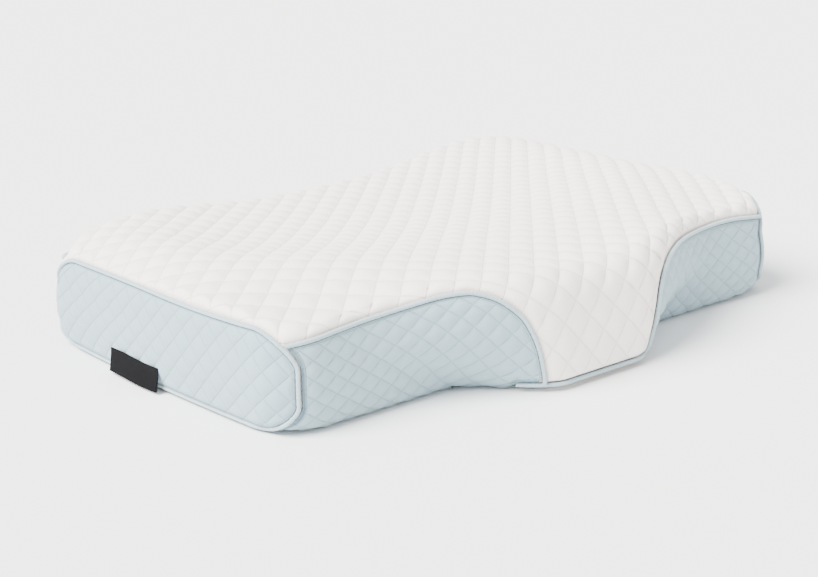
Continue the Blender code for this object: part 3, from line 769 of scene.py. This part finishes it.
def underside():
    """The plain cloth the pillow lies on, drawn in flat under its rounded edge."""
    columns, rows = UNDERSIDE_GRID
    piece = grid("underside_cloth", columns, rows)
    flat = coordinates(piece)
    zero = np.zeros(len(flat))
    x, y, _ = plan(flat[:, 0], flat[:, 1], np.full(len(flat), UNDERSIDE_INSET), zero, zero)
    wrinkle = WRINKLE * (1 + np.sin(x * 180 + 3 * np.sin(y * 90)))
    points = np.stack([x, y + PLAN_SHIFT, wrinkle], axis=1)
    place(piece, points)
    cloth = diamonds(points[:, 0], points[:, 1], END_DIAMOND)
    lay_cloth(piece, cloth)
    mark(piece, "edge", np.full(len(points), 0.05))
    if vertex_normals(piece)[0][2] > 0:
        piece.data.flip_normals()
    bpy.ops.object.shade_smooth()
    wall = piece.modifiers.new("cloth", "SOLIDIFY")
    wall.thickness = UNDERSIDE_THICK
    wall.offset = -1
    bpy.ops.object.modifier_apply(modifier="cloth")
    return piece


def covered_cord(name, line, normals, closed):
    """A cord in a folded strip of cloth, as a closed tube along a line."""
    steps = len(line)
    rings = steps if closed else steps + 2
    piece = grid(name, rings if closed else rings - 1, CORD_SIDES)
    flat = (coordinates(piece)[:, :2] + 1) / 2
    cells = rings if closed else rings - 1
    i = np.rint(flat[:, 0] * cells).astype(int)
    j = np.rint(flat[:, 1] * CORD_SIDES).astype(int)
    if closed:
        index, size = i % steps, np.ones(len(i))
        run = np.roll(line, -1, axis=0) - np.roll(line, 1, axis=0)
    else:
        index = np.clip(i - 1, 0, steps - 1)
        size = np.where((i == 0) | (i == rings - 1), 0.0, 1.0)
        run = np.gradient(line, axis=0)
    run /= np.linalg.norm(run, axis=1)[:, None]
    across = np.cross(run, normals)
    across /= np.linalg.norm(across, axis=1)[:, None]
    up = np.cross(across, run)
    angle = j / CORD_SIDES * 2 * np.pi
    lengths = run_lengths(np.concatenate([line, line[:1]]))
    place_along = lengths[np.minimum(index, len(lengths) - 1)]
    if closed:
        place_along = lengths[i]
    pucker = PUCKER * np.sin(place_along * 1400 + np.sin(place_along * 311) * 2)
    radius = (CORD_RADIUS + pucker) * size
    points = line[index] + across[index] * (np.cos(angle) * radius)[:, None]
    points = points + up[index] * (np.sin(angle) * radius)[:, None]
    place(piece, points)
    lay_cloth(piece, np.stack([place_along / 0.004, j / CORD_SIDES * 4], axis=1))
    bpy.ops.object.mode_set(mode="EDIT")
    bpy.ops.mesh.select_all(action="SELECT")
    bpy.ops.mesh.remove_doubles(threshold=0.00002)
    bpy.ops.mesh.normals_make_consistent(inside=False)
    bpy.ops.object.mode_set(mode="OBJECT")
    bpy.ops.object.shade_smooth()
    return piece


def cord_line(edge):
    """Middle line of the cord along an edge, with its normals."""
    return edge.points + edge.inward * CORD_RADIUS + edge.normals * CORD_LIFT


def run_cord(name, line, normals, closed=False):
    if closed:
        line = np.concatenate([line, line[:1]])
        normals = np.concatenate([normals, normals[:1]])
    both = evenly(np.concatenate([line, normals], axis=1), CORD_STEP)
    if closed:
        both = both[:-1]
    return covered_cord(name, both[:, :3], both[:, 3:], closed)


def add_cords():
    left, right = cord_line(LEFT_LOOP), cord_line(RIGHT_LOOP)
    base = cord_line(BASE_EDGE)
    cords = {
        "left_end_cord": run_cord("left_end_cord", left, LEFT_LOOP.normals, True),
        "right_end_cord": run_cord("right_end_cord", right, RIGHT_LOOP.normals, True),
        "lobe_base_cord": run_cord("lobe_base_cord", base, BASE_EDGE.normals),
    }
    gap = CORD_WIDTH * 0.5
    for name, edge, others in (
        ("front_left_cord", LEFT_FRONT, np.concatenate([left, base])),
        ("front_right_cord", RIGHT_FRONT, np.concatenate([right, base])),
        ("back_cord", BACK_EDGE, np.concatenate([left, right])),
    ):
        line = cord_line(edge)
        kept = clear_of(line, others, gap)
        cords[name] = run_cord(name, line[kept], edge.normals[kept])
    return cords


def label():
    """A small folded woven label, left bare, over the lower cord of the left end."""
    columns, rows = LABEL_GRID
    piece = grid("end_label", columns, rows)
    flat = coordinates(piece)
    y = PLAN_SHIFT + LABEL_PLACE + flat[:, 0] * LABEL_WIDTH / 2
    up = (flat[:, 1] + 1) / 2
    targets = np.stack([y, np.full_like(y, LABEL_WALL)], axis=1)
    turn, rise = settle(targets, [1, 2], (3.1, 3.9))
    wall_x = side(turn, rise)[:, 0]
    bow = LABEL_BOW * np.sin(np.pi * (flat[:, 0] + 1) / 2) * (1 - up)
    x = wall_x - LABEL_OUT - LABEL_FLARE * (1 - up) ** 1.6 - bow
    z = LABEL_BOTTOM + up * LABEL_HEIGHT + LABEL_WAVE * np.sin(flat[:, 0] * 3.0)
    place(piece, np.stack([x, y, z], axis=1))
    lay_cloth(piece, (flat[:, :2] + 1) / 2)
    if vertex_normals(piece)[0][0] > 0:
        piece.data.flip_normals()
    bpy.ops.object.shade_smooth()
    wall = piece.modifiers.new("fold", "SOLIDIFY")
    wall.thickness = LABEL_THICK
    wall.offset = 0
    bpy.ops.object.modifier_apply(modifier="fold")
    return piece


# Materials


def nodes_of(name, roughness, sheen, sheen_roughness=0.5):
    made = bpy.data.materials.new(name)
    made.use_nodes = True
    tree = made.node_tree
    shader = tree.nodes["Principled BSDF"]
    shader.inputs["Roughness"].default_value = roughness
    shader.inputs["Sheen Weight"].default_value = sheen
    shader.inputs["Sheen Roughness"].default_value = sheen_roughness
    shader.inputs["Specular IOR Level"].default_value = 0.25
    return made, tree, shader


def node(tree, kind, **settings):
    made = tree.nodes.new(kind)
    for name, value in settings.items():
        setattr(made, name, value)
    return made


def maths(tree, operation, first, second=None):
    made = node(tree, "ShaderNodeMath", operation=operation)
    for socket, value in zip(made.inputs, (first, second)):
        if value is None:
            continue
        if isinstance(value, (int, float)):
            socket.default_value = value
        else:
            tree.links.new(value, socket)
    return made.outputs[0]


def mix_colour(tree, factor, first, second, blend="MIX"):
    made = node(tree, "ShaderNodeMix", data_type="RGBA", blend_type=blend)
    for index, value in ((0, factor), (6, first), (7, second)):
        socket = made.inputs[index]
        if isinstance(value, (int, float, tuple)):
            socket.default_value = value
        else:
            tree.links.new(value, socket)
    return made.outputs[2]


def quilted_cloth(name, colour, shade, stitch_and_crease_shade, weave_scale, roughness, sheen):
    """Knitted quilting cloth: fine loops, a stitch line in each channel that is also painted
    groove shade, painted shade along the seams, soft soiling.
    """
    made, tree, shader = nodes_of(name, roughness, sheen)
    links = tree.links
    cloth = node(tree, "ShaderNodeUVMap", uv_map="cloth")
    parts = node(tree, "ShaderNodeSeparateXYZ")
    links.new(cloth.outputs[0], parts.inputs[0])
    lines = []
    for socket in (parts.outputs[0], parts.outputs[1]):
        away = maths(tree, "PINGPONG", socket, 0.5)
        lines.append(maths(tree, "SUBTRACT", 1.0, maths(tree, "MULTIPLY", away, 22.0)))
    line = maths(tree, "MAXIMUM", maths(tree, "MAXIMUM", lines[0], lines[1]), 0.0)
    thread_a = maths(tree, "SINE", maths(tree, "MULTIPLY", parts.outputs[0], 44.0))
    thread_b = maths(tree, "SINE", maths(tree, "MULTIPLY", parts.outputs[1], 44.0))
    thread = maths(tree, "MULTIPLY", thread_a, thread_b)
    spots = node(tree, "ShaderNodeTexCoord")
    knit = node(tree, "ShaderNodeTexVoronoi", feature="F1")
    knit.inputs["Scale"].default_value = weave_scale
    links.new(spots.outputs["Object"], knit.inputs["Vector"])
    cloud = node(tree, "ShaderNodeTexNoise")
    cloud.inputs["Scale"].default_value = 9.0
    cloud.inputs["Detail"].default_value = 4.0
    links.new(spots.outputs["Object"], cloud.inputs["Vector"])
    soft = maths(tree, "MULTIPLY", cloud.outputs["Fac"], 0.5)
    base = mix_colour(tree, soft, colour, shade)
    # Dark lines in the channels: partly the stitch colour, partly painted shade of the grooves
    tone = mix_colour(tree, maths(tree, "MULTIPLY", line, 0.3), base, stitch_and_crease_shade)
    # Painted shade along the seams: within about 2.4 mm of the cord the cloth turns 70% towards
    # the stitch colour, warm-toned on the white cloth
    edge = node(tree, "ShaderNodeAttribute", attribute_name="edge")
    close = maths(tree, "SUBTRACT", 1.0, maths(tree, "MULTIPLY", edge.outputs["Fac"], 420.0))
    close = maths(tree, "MAXIMUM", close, 0.0)
    tone = mix_colour(tree, maths(tree, "MULTIPLY", close, 0.7), tone, stitch_and_crease_shade)
    links.new(tone, shader.inputs["Base Color"])
    height = maths(tree, "MULTIPLY", knit.outputs["Distance"], 0.35)
    height = maths(tree, "SUBTRACT", height, maths(tree, "MULTIPLY", line, 0.9))
    height = maths(tree, "ADD", height, maths(tree, "MULTIPLY", thread, 0.08))
    bump = node(tree, "ShaderNodeBump")
    bump.inputs["Strength"].default_value = 0.55
    bump.inputs["Distance"].default_value = 0.0009
    links.new(height, bump.inputs["Height"])
    links.new(bump.outputs[0], shader.inputs["Normal"])
    return made


def cord_cloth():
    """Cloth folded over the cord: a fine slanting weave and a soft line along it."""
    made, tree, shader = nodes_of("covered_cord_cloth", 0.8, 0.35)
    links = tree.links
    cloth = node(tree, "ShaderNodeUVMap", uv_map="cloth")
    parts = node(tree, "ShaderNodeSeparateXYZ")
    links.new(cloth.outputs[0], parts.inputs[0])
    run = maths(tree, "MULTIPLY", parts.outputs[0], 26.0)
    round_it = maths(tree, "MULTIPLY", parts.outputs[1], 9.0)
    weave = maths(tree, "SINE", maths(tree, "ADD", run, round_it))
    spots = node(tree, "ShaderNodeTexCoord")
    cloud = node(tree, "ShaderNodeTexNoise")
    cloud.inputs["Scale"].default_value = 60.0
    links.new(spots.outputs["Object"], cloud.inputs["Vector"])
    tone = mix_colour(tree, cloud.outputs["Fac"], CORD_CLOTH[0], CORD_CLOTH[1])
    shaded = maths(tree, "MULTIPLY", maths(tree, "ADD", weave, 1.0), 0.07)
    tone = mix_colour(tree, shaded, tone, CORD_CLOTH[2])
    links.new(tone, shader.inputs["Base Color"])
    bump = node(tree, "ShaderNodeBump")
    bump.inputs["Strength"].default_value = 0.5
    bump.inputs["Distance"].default_value = 0.0004
    links.new(weave, bump.inputs["Height"])
    links.new(bump.outputs[0], shader.inputs["Normal"])
    return made


def label_cloth():
    """Dense dark satin tape with a fine weave across it, otherwise bare."""
    made, tree, shader = nodes_of("dark_woven_tape", 0.8, 0.0)
    shader.inputs["Specular IOR Level"].default_value = 0.06
    links = tree.links
    cloth = node(tree, "ShaderNodeUVMap", uv_map="cloth")
    parts = node(tree, "ShaderNodeSeparateXYZ")
    links.new(cloth.outputs[0], parts.inputs[0])
    warp = maths(tree, "SINE", maths(tree, "MULTIPLY", parts.outputs[0], 700.0))
    weft = maths(tree, "SINE", maths(tree, "MULTIPLY", parts.outputs[1], 210.0))
    weave = maths(tree, "MULTIPLY", warp, weft)
    amount = maths(tree, "MULTIPLY", maths(tree, "ADD", weave, 1.0), 0.5)
    tone = mix_colour(tree, amount, *TAPE)
    links.new(tone, shader.inputs["Base Color"])
    bump = node(tree, "ShaderNodeBump")
    bump.inputs["Strength"].default_value = 0.3
    bump.inputs["Distance"].default_value = 0.0002
    links.new(weave, bump.inputs["Height"])
    links.new(bump.outputs[0], shader.inputs["Normal"])
    return made


def dress(piece, cloth, slot, *solids):
    piece.data.materials.clear()
    piece.data.materials.append(cloth)
    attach(piece, "root")
    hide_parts(*solids)


def build():
    white = quilted_cloth("white_quilted_cloth", *WHITE_CLOTH, 900.0, 0.9, 0.2)
    blue = quilted_cloth("blue_quilted_cloth", *BLUE_CLOTH, 1100.0, 0.85, 0.2)
    cord = cord_cloth()
    tape = label_cloth()

    cover = pillow_cover()
    dress(cover, white, "top_cover", "pillow_body")

    left = end_panel("left_end_cloth", LEFT_LOOP, False)
    right = end_panel("right_end_cloth", RIGHT_LOOP, True)
    front_left = front_panel("front_left_cloth", LEFT_FRONT, LEFT_LOOP, False)
    front_right = front_panel("front_right_cloth", RIGHT_FRONT, RIGHT_LOOP, True)
    back = back_panel()
    under = underside()
    for piece, solid, width, length in (
        (left, "left_end_panel", 0.37, 0.095),
        (right, "right_end_panel", 0.37, 0.095),
        (front_left, "front_left_panel", 0.31, 0.105),
        (front_right, "front_right_panel", 0.31, 0.105),
        (back, "back_panel", 0.66, 0.095),
        (under, "base_panel", 0.61, 0.41),
    ):
        dress(piece, blue, "side_cloth", solid)
    cords = add_cords()
    for name, solid in (
        ("left_end_cord", "left_end_piping"),
        ("right_end_cord", "right_end_piping"),
        ("front_left_cord", "front_left_piping"),
        ("front_right_cord", "front_right_piping"),
        ("back_cord", "back_piping"),
        ("lobe_base_cord", "lobe_base_piping"),
    ):
        dress(cords[name], cord, "piping", solid)
    tag = label()
    dress(tag, tape, "label", "label")


def add_camera():
    turn, tilt, roll = (math.radians(a) for a in (CAMERA_TURN, CAMERA_TILT, CAMERA_ROLL))
    level = math.cos(tilt)
    forward = Vector((math.sin(turn) * level, math.cos(turn) * level, -math.sin(tilt)))
    right = Vector((math.cos(turn), -math.sin(turn), 0))
    up = right.cross(forward)
    across = right * math.cos(roll) + up * math.sin(roll)
    up = up * math.cos(roll) - right * math.sin(roll)
    data = bpy.data.cameras.new("camera")
    data.sensor_width = 36
    data.lens = FOCAL_PIXELS / PICTURE_WIDTH * 36
    data.shift_x = -PICTURE_SHIFT[0] / PICTURE_WIDTH
    data.shift_y = PICTURE_SHIFT[1] / PICTURE_WIDTH
    camera = bpy.data.objects.new("camera", data)
    bpy.context.scene.collection.objects.link(camera)
    turned = Matrix((across, up, -forward)).transposed().to_4x4()
    spot = Vector(CAMERA_TARGET) - forward * CAMERA_AWAY
    camera.matrix_world = Matrix.Translation(spot) @ turned
    bpy.context.scene.camera = camera


def add_soft_sun():
    """One broad light from the left, high up and a little behind."""
    data = bpy.data.lights.new("key", "SUN")
    data.energy = KEY_POWER
    data.angle = math.radians(KEY_SOFTNESS)
    data.color = KEY_TINT
    light = bpy.data.objects.new("key", data)
    bpy.context.scene.collection.objects.link(light)
    light.rotation_euler = (-Vector(KEY_FROM)).to_track_quat("-Z", "Y").to_euler()


def add_studio():
    bpy.ops.object.select_all(action="DESELECT")
    bpy.ops.mesh.primitive_plane_add(size=14, location=(0, 0, 0))
    floor = bpy.context.object
    floor.name = "studio_floor"
    made, tree, shader = nodes_of("studio_floor_finish", 0.9, 0.0)
    shader.inputs["Base Color"].default_value = FLOOR_COLOUR
    floor.data.materials.append(made)
    world = bpy.data.worlds.new("studio")
    world.use_nodes = True
    glow = world.node_tree.nodes["Background"]
    glow.inputs["Color"].default_value = (1, 1, 1, 1)
    glow.inputs["Strength"].default_value = WORLD_GLOW
    bpy.context.scene.world = world
    add_soft_sun()


build()
add_camera()
add_studio()
